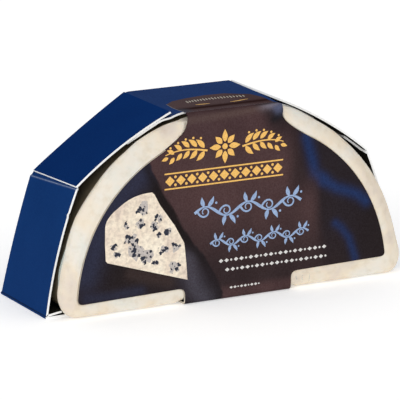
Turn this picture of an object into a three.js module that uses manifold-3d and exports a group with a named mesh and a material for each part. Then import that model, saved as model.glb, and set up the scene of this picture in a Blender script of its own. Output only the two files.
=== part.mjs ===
// A half wheel of soft cheese in tight clear film, standing on its cut side in a folded board carton.
// Millimetres, +Z up. The open front of the carton faces -Y. The origin is the middle of the
// rectangle that the pack covers on the surface it stands on.

import * as THREE from 'three';
import { mergeVertices } from 'three/addons/utils/BufferGeometryUtils.js';
import Module from 'manifold-3d';

// Driving dimensions of the carton

const board = 0.6; // thickness of the board
const layerGap = 0.2; // air between two layers of board
const clearance = 0.3; // air between the cheese and the board
const looseGap = 0.4; // the same at the top and the back, where nothing presses it
const baseHalf = 57; // half of the width at the base
const kneeHalf = 47.1; // half of the width at the knee, where a side meets its shoulder
const kneeHeight = 37.15;
const topHalf = 17.7; // half of the width between the two shoulders' upper edges
const height = 54.8;
const depth = 29.5; // from the open front edge to the outer face of the back panel
const proud = 5.8; // how far the front card stands in front of the open edge
const bowFront = 1.05; // how far the sides and shoulders swell at the open edge
const bowBack = 0.4; // and at the back panel
const kneeDrop = 2; // how much lower the left knee runs at the back than at the front
const kneeFlare = 0.6; // how much wider the sides stand at the back than at the front, at the knee
const baseFlare = 0.4; // and at the base
const shoulderSpring = 0.5; // how far a shoulder's upper front corner springs up
const kneeOverhang = 0.1; // how far a shoulder reaches past the knee at the front
const kneeDraw = 0.5; // how much less far it reaches at the back
const kneeZone = 3; // how far from the knee these last two take effect
const sideKneeInset = 0; // how far inside the shoulder's knee the side panel folds
const backInset = 0.25; // the back panel's edges lie this far inside the outer faces
const kneeFlap = 8.6; // length of the flap that a side panel tucks under its shoulder
const baseFlap = 5; // length of the flap that a side panel folds onto the base
const baseFlapRise = 0.55; // how far that flap springs up at its free edge
const topFlapStart = 12.5; // distance from the middle where the top starts to curve down
const topFlapBend = 21; // distance from the middle where that curve ends
const topFlapEnd = 31; // distance from the middle where the top's flap ends
const jointSink = 0.1; // how far panels that are joined sink into each other
const backCornerShift = 0.5; // how far outside the shoulder's end the back panel turns down
const topFlatEnd = 16.6; // distance from the middle up to which the top is nearly flat at the back
const topFlatness = 0.9; // 1 would make it quite flat there

// Driving dimensions of the front card, which is joined to the top and the base by two necks

const cardHalf = 49.9;
const cardRise = 49; // height of the card's arch above its centre
const cardCentre = 1;
const cardPower = 2.1; // an arch of power 2 is an ellipse, and a higher one is fuller
const cardBottom = 5.1; // height of the lower edges of the card's two lobes
const cardSlope = 0.0165; // their rise to the right
const cardCorner = 1.9;
const topNeckHalf = 15.3;
const topNeckFillet = 3.4; // width of the hollow curve from the card's arch into the top neck
const topNeckFilletRise = 4.6; // and its height
const bottomNeckLeft = -16.3;
const bottomNeckRight = 18.7;
const bottomNeckFillet = 2;
const topBend = 3; // outer radius of the bend between the top and the card
const bottomBend = 1.3;

// Driving dimensions of the cheese

const wheelRadius = 54; // inside the carton
const bulgeRadius = 54.8; // where it stands proud of the open edge
const wheelShift = 0.5; // the cheese sits a little to the right
const wheelCentre = 0.5; // height of the arch's centre
const bulgeReturn = 0.9; // how far in front of the open edge it draws in again
const bulgeReturnInset = 0.4; // and how much
const footSpreadLeft = 1.8; // how far its foot spreads in front of the carton
const footSpreadRight = 2.2;
const footHeight = 16; // height below which it spreads
const bodyCorner = 6; // radius of the lower corners inside the carton
const frontCornerLeft = 7; // and in front of it
const frontCornerRight = 4.6;
const faceEdge = 4.5; // how far the rounding of the front edge runs in from the side
const faceEdgeDepth = 2.8; // and how far it runs back
const faceCornerTightening = 0.4; // share of that rounding by which the corners get tighter
const faceFootLift = 0.65; // share of it by which the foot lifts
const backEdge = 3.5; // radius of the back edge
const droop = 0.8; // how far the foot sinks beside the card's lower neck
const droopStart = 0.5; // distance from the neck's edge where it starts to sink
const droopEnd = 3;

// How finely curves are divided

const curveSteps = 10;
const bendSteps = 8;
const topBendSteps = 12;
const sideSteps = 6;
const shoulderSteps = 8;
const flapSteps = 3;
const archSteps = 22;
const roundSteps = 110; // round a section of the cheese
const faceEdgeSteps = 5;
const backEdgeSteps = 4;
const weldDistance = 1e-4;

const totalDepth = depth + proud;
const yFace = -totalDepth / 2;
const yMouth = yFace + proud;
const yBack = totalDepth / 2;

const { clamp, smoothstep } = THREE.MathUtils;

const wasm = await Module();
wasm.setup();

// Profiles are lists of [x, z] in the plane of the open front. A fold line runs clockwise over the
// arch as seen from the front, so the inside of the carton is on its right.

function offsetInward(path, distance) {
  return path.map(([x, z], i) => {
    const [xa, za] = path[Math.max(i - 1, 0)];
    const [xb, zb] = path[Math.min(i + 1, path.length - 1)];
    const before = new THREE.Vector2(z - za, xa - x).normalize();
    const after = new THREE.Vector2(zb - z, x - xb).normalize();
    const mitre = before.clone().add(after).normalize();
    const reference = before.lengthSq() > 0 ? before : after;
    const reach = distance / mitre.dot(reference);
    return [x + mitre.x * reach, z + mitre.y * reach];
  });
}

function between(from, to, steps) {
  return Array.from({ length: steps }, (_, i) => {
    const t = (i + 1) / steps;
    return [from[0] + (to[0] - from[0]) * t, from[1] + (to[1] - from[1]) * t];
  });
}

const mirrored = (path) => path.map(([x, z]) => [-x, z]).reverse();
const shapeOf = (points) => new THREE.Shape(points.map(([x, z]) => new THREE.Vector2(x, z)));
const stripShape = (path) => shapeOf([...path, ...offsetInward(path, board).reverse()]);

// A profile in x and z becomes a solid that runs back from yFrom to yTo.
function extrudeBack(shape, yFrom, yTo) {
  const geometry = new THREE.ExtrudeGeometry(shape, {
    depth: yTo - yFrom,
    bevelEnabled: false,
    curveSegments: curveSteps,
  });
  const axes = new THREE.Matrix4().makeBasis(
    new THREE.Vector3(1, 0, 0),
    new THREE.Vector3(0, 0, 1),
    new THREE.Vector3(0, -1, 0),
  );
  return geometry.applyMatrix4(axes).translate(0, yTo, 0);
}

// A profile in y and z becomes a solid that runs across from xFrom to xTo.
function extrudeAcross(shape, xFrom, xTo) {
  const geometry = new THREE.ExtrudeGeometry(shape, { depth: xTo - xFrom, bevelEnabled: false });
  const axes = new THREE.Matrix4().makeBasis(
    new THREE.Vector3(0, 1, 0),
    new THREE.Vector3(0, 0, 1),
    new THREE.Vector3(1, 0, 0),
  );
  return geometry.applyMatrix4(axes).translate(xFrom, 0, 0);
}

function moveVertices(geometry, place) {
  const position = geometry.getAttribute('position');
  const vertex = new THREE.Vector3();
  for (let i = 0; i < position.count; i += 1) {
    place(vertex.fromBufferAttribute(position, i));
    position.setXYZ(i, vertex.x, vertex.y, vertex.z);
  }
  return geometry;
}

function solidOf(geometry) {
  geometry.deleteAttribute('normal');
  geometry.deleteAttribute('uv');
  const merged = mergeVertices(geometry, weldDistance);
  return new wasm.Manifold(new wasm.Mesh({
    numProp: 3,
    vertProperties: new Float32Array(merged.getAttribute('position').array),
    triVerts: new Uint32Array(merged.index.array),
  }));
}

function geometryOf(solid) {
  const mesh = solid.getMesh();
  const geometry = new THREE.BufferGeometry();
  geometry.setAttribute('position', new THREE.BufferAttribute(mesh.vertProperties, 3));
  geometry.setIndex(new THREE.BufferAttribute(mesh.triVerts, 1));
  return geometry;
}

// The carton's arch

const shoulderSlope = (height - kneeHeight) / (kneeHalf - topHalf);
const shoulderTilt = Math.atan(shoulderSlope);
const sideTilt = Math.atan((baseHalf - kneeHalf) / kneeHeight);
const shoulderLine = (x, inset) =>
  height - (x - topHalf) * shoulderSlope - inset / Math.cos(shoulderTilt);

// How far a point has come along its shoulder or side, and the way that the panel there swells.
function panelAt(x, z) {
  const reach = Math.abs(x);
  const onShoulder = reach < kneeHalf - board / 2 && z > kneeHeight / 2;
  const along = onShoulder ? (kneeHalf - reach) / (kneeHalf - topHalf) : z / kneeHeight;
  const t = clamp(along, 0, 1);
  const tilt = onShoulder ? shoulderTilt : Math.PI / 2 - sideTilt;
  return { swell: 4 * t * (1 - t), out: [Math.sign(x) * Math.sin(tilt), Math.cos(tilt)] };
}

const swollen = (path) => path.map(([x, z]) => {
  const { swell, out } = panelAt(x, z);
  return [x + out[0] * bowFront * swell, z + out[1] * bowFront * swell];
});

// Towards the back the panels swell less, the sides flare, the shoulders' lower edges draw in, the top
// gets flatter and the left knee runs down. At the front, the upper edge of each shoulder springs up.
function settle(vertex) {
  const { x, z } = vertex;
  const side = Math.sign(x);
  const reach = Math.abs(x);
  const back = clamp((vertex.y - yMouth) / depth, 0, 1);
  const { swell, out } = panelAt(x, z);
  const shrink = (bowFront - bowBack) * swell * back;
  vertex.x -= out[0] * shrink;
  vertex.z -= out[1] * shrink;

  const alongShoulder = clamp((kneeHalf - reach) / (kneeHalf - topHalf), 0, 1);
  const onShoulder = z > shoulderLine(reach, board + layerGap / 2) && reach > topHalf - board;
  const nearKnee = clamp((reach - kneeHalf + kneeZone) / kneeZone, 0, 1) * back;
  const up = clamp(z / kneeHeight, 0, 1);
  const shift = nearKnee * (onShoulder ? -kneeDraw : baseFlare + (kneeFlare - baseFlare) * up);
  vertex.x += side * shift;
  vertex.z -= shift * shoulderSlope * up ** 2;

  if (reach < topFlatEnd && reach > topFlapStart && z > kneeHeight) {
    vertex.z += (height - topCurveHeight(reach)) * topFlatness * back;
  }
  if (x < 0) {
    const toKnee = reach < kneeHalf ? 1 - alongShoulder : (baseHalf - reach) / (baseHalf - kneeHalf);
    vertex.z -= kneeDrop * back * Math.max(toKnee, 0);
  }
  if (z > kneeHeight) {
    const share = onShoulder ? 1 : smoothstep(reach, topHalf, topFlapBend);
    vertex.z += shoulderSpring * (1 - back) * alongShoulder ** 3 * share;
  }
}

const flapInset = board + layerGap;
const topCorner = topHalf - flapInset / Math.cos(shoulderTilt) / shoulderSlope;
const topBendEnd = [topFlapBend, shoulderLine(topFlapBend, flapInset)];
const sideCorner = [baseHalf - board * Math.tan(sideTilt), board - jointSink];
const sideKnee = [kneeHalf - sideKneeInset, shoulderLine(kneeHalf - sideKneeInset, flapInset)];

// The top panel's bend on the right, from the flat top to the flap under the shoulder.
function topBendPoints() {
  const curve = new THREE.QuadraticBezierCurve(
    new THREE.Vector2(topFlapStart, height),
    new THREE.Vector2(topCorner, height),
    new THREE.Vector2(...topBendEnd),
  );
  return curve.getPoints(topBendSteps).map((point) => [point.x, point.y]);
}

// The height of that bend's outer face at a distance from the middle.
function topCurveHeight(reach) {
  const a = topFlapStart - 2 * topCorner + topFlapBend;
  const b = 2 * (topCorner - topFlapStart);
  const t = (Math.sqrt(b * b - 4 * a * (topFlapStart - reach)) - b) / (2 * a);
  return height + (topBendEnd[1] - height) * t * t;
}

function basePanel() {
  const corners = [[-baseHalf, board], [baseHalf, board], [baseHalf, 0], [-baseHalf, 0]];
  return extrudeBack(shapeOf(corners), yMouth, yBack);
}

function backPanel() {
  const corner = topHalf + backCornerShift;
  const shoulderTop = [corner, shoulderLine(corner, 0)];
  const right = offsetInward(swollen([
    ...topBendPoints().filter(([x]) => x < topHalf - backCornerShift),
    shoulderTop,
    ...between(shoulderTop, [kneeHalf, kneeHeight], sideSteps),
    ...between(sideKnee, sideCorner, sideSteps),
  ]), backInset);
  return extrudeBack(shapeOf([...mirrored(right), ...right]), yBack - board, yBack);
}

function sidePanel(side) {
  const flapX = sideKnee[0] - kneeFlap * Math.cos(shoulderTilt);
  const left = [
    [-sideCorner[0] + baseFlap, sideCorner[1] + baseFlapRise],
    [-sideCorner[0], sideCorner[1]],
    ...between([-sideCorner[0], sideCorner[1]], [-sideKnee[0], sideKnee[1]], sideSteps),
    ...between([-sideKnee[0], sideKnee[1]], [-flapX, shoulderLine(flapX, flapInset)], flapSteps),
  ];
  const path = swollen(side < 0 ? left : mirrored(left));
  return extrudeBack(stripShape(path), yMouth, yBack);
}

function shoulderPanel(side) {
  const lower = kneeHalf + kneeOverhang;
  const left = [
    [-lower, shoulderLine(lower, 0)],
    ...between([-lower, shoulderLine(lower, 0)], [-topHalf, height], shoulderSteps),
  ];
  const path = swollen(side < 0 ? left : mirrored(left));
  return extrudeBack(stripShape(path), yMouth, yBack);
}

// The top panel curves down on both sides into flaps that lie under the shoulders.
function topPanel() {
  const bend = topBendPoints();
  const flapTip = [topFlapEnd, shoulderLine(topFlapEnd, flapInset)];
  const right = [...bend, ...between(bend.at(-1), flapTip, flapSteps)];
  return extrudeBack(stripShape(swollen([...mirrored(right), ...right])), yMouth, yBack);
}

// The front card and its necks

// The neck's profile is a list of [y, z] that starts on the card and ends inside the arch.
const neck = (path, xFrom, xTo) => extrudeAcross(stripShape(path), xFrom, xTo);

function bendPoints(yCentre, zCentre, radius, fromAngle, toAngle) {
  return Array.from({ length: bendSteps + 1 }, (_, i) => {
    const angle = THREE.MathUtils.degToRad(fromAngle + ((toAngle - fromAngle) * i) / bendSteps);
    return [yCentre + radius * Math.cos(angle), zCentre + radius * Math.sin(angle)];
  });
}

const neckOverlap = 1;

function topNeck() {
  const zCentre = height - topBend;
  const path = [
    [yFace, zCentre - neckOverlap],
    ...bendPoints(yFace + topBend, zCentre, topBend, 180, 90),
    [yMouth + neckOverlap, height],
  ];
  return neck(path, -topNeckHalf, topNeckHalf);
}

function bottomNeck() {
  const path = [
    [yMouth + neckOverlap, 0],
    ...bendPoints(yFace + bottomBend, bottomBend, bottomBend, 270, 180),
    [yFace, bottomBend + neckOverlap],
  ];
  return neck(path, bottomNeckLeft, bottomNeckRight);
}

const cardEdge = (z) => cardHalf * (1 - ((z - cardCentre) / cardRise) ** cardPower) ** (1 / cardPower);
const lobeBottom = (x) => cardBottom + x * cardSlope;

// The height at which the card's arch is as wide as the neck and its fillet.
function neckJoin() {
  const width = (topNeckHalf + topNeckFillet) / cardHalf;
  return cardCentre + cardRise * (1 - width ** cardPower) ** (1 / cardPower);
}

function cardShape() {
  const shape = new THREE.Shape();
  const lobeLeft = lobeBottom(-cardHalf);
  const lobeRight = lobeBottom(cardHalf);
  const join = neckJoin();
  shape.moveTo(bottomNeckLeft, bottomBend);
  shape.lineTo(bottomNeckLeft, lobeBottom(bottomNeckLeft) - bottomNeckFillet);
  shape.quadraticCurveTo(bottomNeckLeft, lobeBottom(bottomNeckLeft),
    bottomNeckLeft - bottomNeckFillet, lobeBottom(bottomNeckLeft - bottomNeckFillet));
  shape.lineTo(-cardHalf + cardCorner, lobeLeft);
  shape.quadraticCurveTo(-cardHalf, lobeLeft, -cardEdge(lobeLeft + cardCorner), lobeLeft + cardCorner);
  for (let i = 1; i <= archSteps; i += 1) {
    const angle = (Math.PI / 2) * (i / archSteps);
    const z = lobeLeft + cardCorner + (join - lobeLeft - cardCorner) * Math.sin(angle);
    shape.lineTo(-cardEdge(z), z);
  }
  const filletTop = join + topNeckFilletRise;
  const filletBend = join + topNeckFilletRise / 2;
  shape.quadraticCurveTo(-topNeckHalf, filletBend, -topNeckHalf, filletTop);
  shape.lineTo(-topNeckHalf, height - topBend);
  shape.lineTo(topNeckHalf, height - topBend);
  shape.lineTo(topNeckHalf, filletTop);
  shape.quadraticCurveTo(topNeckHalf, filletBend, topNeckHalf + topNeckFillet, join);
  for (let i = 1; i <= archSteps; i += 1) {
    const angle = (Math.PI / 2) * (1 - i / archSteps);
    const z = lobeRight + cardCorner + (join - lobeRight - cardCorner) * Math.sin(angle);
    shape.lineTo(cardEdge(z), z);
  }
  shape.quadraticCurveTo(cardHalf, lobeRight, cardHalf - cardCorner, lobeRight);
  shape.lineTo(bottomNeckRight + bottomNeckFillet, lobeBottom(bottomNeckRight + bottomNeckFillet));
  shape.quadraticCurveTo(bottomNeckRight, lobeBottom(bottomNeckRight),
    bottomNeckRight, lobeBottom(bottomNeckRight) - bottomNeckFillet);
  shape.lineTo(bottomNeckRight, bottomBend);
  shape.closePath();
  return shape;
}

function cartonGeometry() {
  const panels = [
    basePanel(),
    backPanel(),
    sidePanel(-1),
    sidePanel(1),
    shoulderPanel(-1),
    shoulderPanel(1),
    topPanel(),
    topNeck(),
    bottomNeck(),
    extrudeBack(cardShape(), yFace, yFace + board),
  ];
  const joined = panels.map(solidOf).reduce((whole, panel) => whole.add(panel));
  return moveVertices(geometryOf(joined), settle);
}

// The cheese

const neckMiddle = (bottomNeckLeft + bottomNeckRight) / 2;
const frontCorners = [frontCornerLeft, frontCornerRight];
const footSpreads = [footSpreadLeft, footSpreadRight];

// Half of a disc with rounded lower corners, as a loop of points at one depth. Where the two sides
// differ, a value is a pair: left, right.
function cheeseSection({ y, radius, corners, bottom, spreads, sink }) {
  const low = bottom - wheelCentre;
  const [left, right] = corners.map((corner) => {
    const lift = low + corner;
    const across = Math.sqrt((radius - corner) ** 2 - lift ** 2);
    return { corner, lift, across, tangent: Math.atan2(lift, across) };
  });
  const shape = new THREE.Shape();
  shape.absarc(0, 0, radius, right.tangent, Math.PI - left.tangent, false);
  shape.absarc(-left.across, left.lift, left.corner, Math.PI - left.tangent, Math.PI * 1.5, false);
  shape.absarc(right.across, right.lift, right.corner, -Math.PI / 2, right.tangent, false);
  const crown = height - board - looseGap - (wheelRadius - Math.min(radius, wheelRadius));
  return shape.getSpacedPoints(roundSteps).slice(0, -1).map((point) => {
    const rise = point.y + wheelCentre;
    const foot = Math.max(0, 1 - rise / footHeight) ** 2;
    const spread = spreads[point.x < 0 ? 0 : 1];
    const x = wheelShift + point.x + Math.sign(point.x) * spread * foot;
    const lowness = Math.max(0, 1 - (rise - bottom) / frontCornerRight);
    const fromNeck = Math.abs(x - neckMiddle) - (bottomNeckRight - bottomNeckLeft) / 2;
    const z = Math.min(rise, crown) - sink * lowness * smoothstep(fromNeck, droopStart, droopEnd);
    return new THREE.Vector3(x, y, z);
  });
}

// Sections from the front face to the back one. Each end is rounded by a quarter of an ellipse.
function cheeseSections() {
  const floor = board + clearance;
  const faceDepth = yFace + board + clearance;
  const backDepth = yBack - board - looseGap;
  const sections = [];
  for (let i = 0; i <= faceEdgeSteps; i += 1) {
    const angle = (Math.PI / 2) * (1 - i / faceEdgeSteps);
    const inset = faceEdge * (1 - Math.cos(angle));
    sections.push({
      y: faceDepth + faceEdgeDepth * (1 - Math.sin(angle)),
      radius: bulgeRadius - inset,
      corners: frontCorners.map((corner) => corner - inset * faceCornerTightening),
      bottom: floor + inset * faceFootLift,
      spreads: footSpreads,
      sink: droop,
    });
  }
  const body = {
    radius: wheelRadius,
    corners: [bodyCorner, bodyCorner],
    bottom: floor,
    spreads: [0, 0],
    sink: 0,
  };
  sections.push({
    ...body,
    y: yMouth - bulgeReturn,
    radius: bulgeRadius - bulgeReturnInset,
    spreads: footSpreads.map((spread) => spread / 2),
    sink: droop,
  });
  sections.push({ ...body, y: yMouth - clearance });
  for (let i = 0; i <= backEdgeSteps; i += 1) {
    const angle = (Math.PI / 2) * (i / backEdgeSteps);
    const inset = backEdge * (1 - Math.cos(angle));
    sections.push({
      ...body,
      y: backDepth - backEdge * (1 - Math.sin(angle)),
      radius: wheelRadius - inset,
      bottom: floor + inset,
    });
  }
  return sections;
}

// Loops with the same number of points are joined by bands, and both ends are closed.
function loft(loops) {
  const count = loops[0].length;
  const indices = [];
  for (let ring = 0; ring < loops.length - 1; ring += 1) {
    for (let i = 0; i < count; i += 1) {
      const next = (i + 1) % count;
      const a = ring * count + i;
      const b = ring * count + next;
      const c = a + count;
      const d = b + count;
      indices.push(a, c, b, b, c, d);
    }
  }
  const flat = (loop) => loop.map((point) => new THREE.Vector2(point.x, point.z));
  const last = (loops.length - 1) * count;
  for (const [a, b, c] of THREE.ShapeUtils.triangulateShape(flat(loops[0]), [])) {
    indices.push(a, b, c);
  }
  for (const [a, b, c] of THREE.ShapeUtils.triangulateShape(flat(loops.at(-1)), [])) {
    indices.push(last + a, last + c, last + b);
  }
  const geometry = new THREE.BufferGeometry().setFromPoints(loops.flat());
  geometry.setIndex(indices);
  return geometry;
}

const cheeseGeometry = () => loft(cheeseSections().map(cheeseSection));

// Materials

const blueBoard = new THREE.MeshStandardMaterial({
  color: '#17386f',
  roughness: 0.45,
  metalness: 0,
  flatShading: true,
});
const filmedRind = new THREE.MeshStandardMaterial({
  color: '#ece3d3',
  roughness: 0.35,
  metalness: 0,
});

function namedMesh(name, geometry, material) {
  geometry.computeVertexNormals();
  const mesh = new THREE.Mesh(geometry, material);
  mesh.name = name;
  return mesh;
}

const pack = new THREE.Group();
pack.add(namedMesh('carton', cartonGeometry(), blueBoard));
pack.add(namedMesh('cheese', cheeseGeometry(), filmedRind));

export default pack;
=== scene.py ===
"""Half a wheel of soft cheese in tight clear film, standing on its cut side in a folded board carton.

The functions work in millimetres, and a mesh becomes metres when it is made. +Z is up, the carton's
open front faces -Y, and the origin is the middle of the pack's base. A path in the plane of the
front is a list of (x, z). The front card is drawn flat, in (u, h): u runs to the right, and h is the
height on the card's face and the length of board along its bends.
"""

import math

import bpy
import numpy as np
from mathutils import Euler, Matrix, Vector, geometry, noise
from mathutils.bvhtree import BVHTree


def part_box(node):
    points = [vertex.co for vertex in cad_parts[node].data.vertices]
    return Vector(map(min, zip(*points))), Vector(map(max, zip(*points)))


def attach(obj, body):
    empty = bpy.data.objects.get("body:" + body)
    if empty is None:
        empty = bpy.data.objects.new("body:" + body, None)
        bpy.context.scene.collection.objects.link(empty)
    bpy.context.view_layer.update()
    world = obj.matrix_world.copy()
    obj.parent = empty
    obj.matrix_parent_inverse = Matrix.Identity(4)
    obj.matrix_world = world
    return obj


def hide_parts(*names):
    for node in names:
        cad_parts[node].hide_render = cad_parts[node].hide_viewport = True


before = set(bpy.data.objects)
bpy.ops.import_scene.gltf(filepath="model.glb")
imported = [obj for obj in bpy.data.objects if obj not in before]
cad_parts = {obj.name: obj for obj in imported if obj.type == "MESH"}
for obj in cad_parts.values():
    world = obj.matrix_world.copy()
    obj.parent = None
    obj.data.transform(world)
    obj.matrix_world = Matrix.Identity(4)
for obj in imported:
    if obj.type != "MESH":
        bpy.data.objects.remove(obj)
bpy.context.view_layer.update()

# Driving dimensions, in millimetres. The outer ones come from the frame. A pair is left, right.

MM = 0.001
carton_low, carton_high = (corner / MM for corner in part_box("carton"))

INK_DEPTH = 0.05
INK_LIFT = 0.02
INK_LAYER = 0.01

PROUD = 5.75
SHOULDER_SPRING = 0.5
KNEE_FLARE = 0.6
BASE_FLARE = 0.4
BASE_HALF = carton_high.x - BASE_FLARE
Y_FACE = carton_low.y + INK_DEPTH
Y_MOUTH = Y_FACE + PROUD
Y_BACK = carton_high.y
DEPTH = Y_BACK - Y_MOUTH
HEIGHT = carton_high.z - SHOULDER_SPRING
BOARD = 0.6
LAYER_GAP = 0.2
TOUCHING_GAP = 0.03
KNEE_HALF = 47.1
KNEE_HEIGHT = 37.15
TOP_HALF = 17.7
SIDE_BOW = 1.25
SHOULDER_BOW = 1.4
BACK_BOW = 0.4
KNEE_DROP = 2.0
KNEE_OVERHANG = 0.1
KNEE_DRAW = 0.5
KNEE_ZONE = 3
BACK_LIFT = 0.48
KNEE_FLAP = 8.6
BASE_FLAP = 5
BASE_FLAP_RISE = 0.6
FOOT_TUCK = 0.1
TOP_FLAP_BEND = 21
TOP_FLAP_END = 31
BEND_SHARE = 0.3
KNEE_RADIUS = 0.4
FOOT_RADIUS = 0.3
BACK_FOLD = 0.45
BACK_SEAM = 0.05
EDGE_SOFTENING = 0.07
CARD_EDGE_SOFTENING = 0.06
GRID = 1.2
SIDE_GRID = 0.3
BACK_GRID = 2.4

CARD_HALVES = (49.9, 50.1)
CARD_RISES = (49, 49.8)
CARD_CENTRE = 1
CARD_POWERS = (2.1, 2.02)
CARD_BOTTOM = 5.22
CARD_SLOPE = 0.0165
CARD_CORNER = 1.9
CARD_GRID = 0.6
CARD_ARC_STEPS = 60
TOP_NECK_HALF = 15.3
TOP_NECK_FILLETS = (9.7, 8.7)
TOP_NECK_SLOPE = 0.556
TOP_NECK_START = 52.2
NECK_LEAN_START = 54.7
NECK_LEANS = ((0.9, 1.5, 2.4), (0.7, 1.3, 2.6))
NECK_RIM = 46
BOTTOM_NECK = (-16.1, 18.35)
BOTTOM_NECK_FILLET = 2
TOP_BEND = 3
BOTTOM_BEND = 1.3
PANEL_HALF = 32.6
BACK_CORNER_CUT = 6
EDGE_TOLERANCE = 0.01
BACK_RIM = 0.1

# The front edges of the top panel's flaps: (u, how far behind the mouth)
FLAP_FRONTS = (((-21, 0), (-28, 0.05), (-32.6, 0.6)), ((18.7, 0.2), (22, 1.8), (32.6, 3.6)))

WHEEL_RADIUS = 54
BULGE_RADIUS = 54.8
WHEEL_SHIFT = 0.5
WHEEL_CENTRE = 0.5
WHEEL_COLUMNS = 900
WHEEL_SPACING = 0.4
BODY_CORNERS = (6, 6)
FRONT_CORNERS = (7, 5.8)
LEAST_CORNER = 2.6
FOOT_SPREADS = (1.8, 2.8)
FOOT_HEIGHT = 16
FACE_EDGE = 3.9
FACE_EDGE_DEPTH = 2.5
FACE_CORNER_TIGHTENING = 0.4
FACE_FOOT_LIFT = 0.5
BACK_EDGE = 3.5
DROOP = 0.8
DROOP_ZONE = (0.5, 3)
CLEARANCE = 0.3
LOOSE_GAP = 0.4
FACE_GAP = 0.05
CARD_GAP = 0.02
PRESS_DEPTH = 0.12
PRESS_RISE = (-0.05, 0.25)
PRESS_FALL = (1.2, 4)
CROWN_DROP = 0.9

# Zones of depth, from the mouth backwards, and from the card's face for the left lip
RELEASE_ZONE = (-0.75, 1.05)
SHADE_ZONE = (-0.6, 1.2)
LUMPY_ZONE = (-2, 2)
LEFT_LIP_ZONE = (1.1, 4.6)

# Swellings of the cheese: places, and how much at them. A crest goes by x, and a lip by height.
CREST = ((8, 14, 17, 20, 24, 28, 34, 42), (0, 0.7, 1.2, 1.2, 0.8, 0.5, 0.7, 0))
LEFT_LIP = ((4, 11, 17, 27, 46, 50, 53), (0.1, 0.4, 0.7, 1.8, 1.8, 1.2, 0.4))
RIGHT_LIP = ((5, 14, 24, 35, 42), (0.3, 0.5, 0.6, 0.5, 0))


def linear(red, green, blue):
    """An sRGB colour, 0 to 255, as linear values with an alpha of 1."""
    channels = [c / 255 for c in (red, green, blue)]
    values = [c / 12.92 if c <= 0.04045 else ((c + 0.055) / 1.055) ** 2.4 for c in channels]
    return (*values, 1.0)


def smoothstep(value, low, high):
    t = np.clip((value - low) / (high - low), 0, 1)
    return t * t * (3 - 2 * t)


def unit(vectors):
    return vectors / np.maximum(np.linalg.norm(vectors, axis=-1, keepdims=True), 1e-9)


# Paths


def subdivided(path, spacing):
    points = [np.array(path[0], float)]
    for corner in path[1:]:
        start, end = points[-1], np.array(corner, float)
        steps = max(1, math.ceil(np.linalg.norm(end - start) / spacing))
        points += [start + (end - start) * (i + 1) / steps for i in range(steps)]
    return np.array(points)


def curve_points(start, bend, end, steps=6):
    t = np.linspace(0, 1, steps + 1)[:, None]
    start, bend, end = (np.array(p, float) for p in (start, bend, end))
    return list((1 - t) ** 2 * start + 2 * t * (1 - t) * bend + t**2 * end)


def rounded(path, radii):
    """The path with its inner corners replaced by small curves."""
    corners = [np.array(corner, float) for corner in path]
    points = [corners[0]]
    for before, corner, after, radius in zip(corners, corners[1:], corners[2:], radii):
        a, b = unit(before - corner), unit(after - corner)
        reach = radius / math.tan(math.acos(np.clip(a @ b, -1, 1)) / 2)
        points += curve_points(corner + a * reach, corner, corner + b * reach, 5)
    return np.array([*points, corners[-1]])


def mirrored(path):
    return [(-x, z) for x, z in reversed(path)]


def path_normals(path):
    """Normals on the left of a path, which is the outside of the arch when it runs clockwise."""
    along = unit(np.gradient(path, axis=0))
    return np.stack([-along[:, 1], along[:, 0]], axis=1)


def line_distance(points, line):
    """Distance of each point to a line of straight stretches."""
    line = np.asarray(line, float)
    nearest = np.full(len(points), np.inf)
    for start, along in zip(line, np.diff(line, axis=0)):
        offset = points - start
        t = np.clip(offset @ along / (along @ along), 0, 1)
        nearest = np.minimum(nearest, np.linalg.norm(offset - t[:, None] * along, axis=1))
    return nearest


def inside_polygon(points, polygon):
    x, y = points.T
    inside = np.zeros(len(points), bool)
    for (x0, y0), (x1, y1) in zip(polygon, np.roll(polygon, -1, axis=0)):
        if y0 != y1:
            at = (x1 - x0) * (y - y0) / (y1 - y0) + x0
            inside ^= ((y0 > y) != (y1 > y)) & (x < at)
    return inside


# Meshes


def add_object(name, data):
    made = bpy.data.objects.new(name, data)
    bpy.context.scene.collection.objects.link(made)
    return made


def mesh_piece(name, vertices, faces, materials, face_materials=None, smooth_angle=40):
    """Makes an object from vertices in millimetres, and lets it ride on the frame."""
    mesh = bpy.data.meshes.new(name)
    mesh.from_pydata([tuple(v * MM) for v in vertices], [], faces)
    for made in materials:
        mesh.materials.append(made)
    if face_materials is not None:
        mesh.polygons.foreach_set("material_index", face_materials)
    mesh.shade_smooth()
    mesh.set_sharp_from_angle(angle=math.radians(smooth_angle))
    mesh.validate()
    piece = add_object(name, mesh)
    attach(piece, "root")
    return piece


def open_edges(faces):
    """The directed edges that only one face has."""
    seen = {(a, b) for face in faces for a, b in zip(face, (*face[1:], face[0]))}
    return sorted((a, b) for a, b in seen if (b, a) not in seen)


def slab(name, outer, inner, faces, materials, rim_material=lambda a, b: 0):
    """A closed sheet from the faces of its outer side, with rims between that side and the inner one."""
    count = len(outer)
    inside = [tuple(reversed([i + count for i in face])) for face in faces]
    edges = open_edges(faces)
    rims = [(b, a, a + count, b + count) for a, b in edges]
    indices = [0] * len(faces) + [1] * len(inside) + [rim_material(a, b) for a, b in edges]
    return mesh_piece(name, np.concatenate([outer, inner]), [*faces, *inside, *rims], materials, indices)


def grid_faces(rows, columns):
    return [
        (r * columns + c, r * columns + c + 1, (r + 1) * columns + c + 1, (r + 1) * columns + c)
        for r in range(rows - 1)
        for c in range(columns - 1)
    ]


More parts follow.
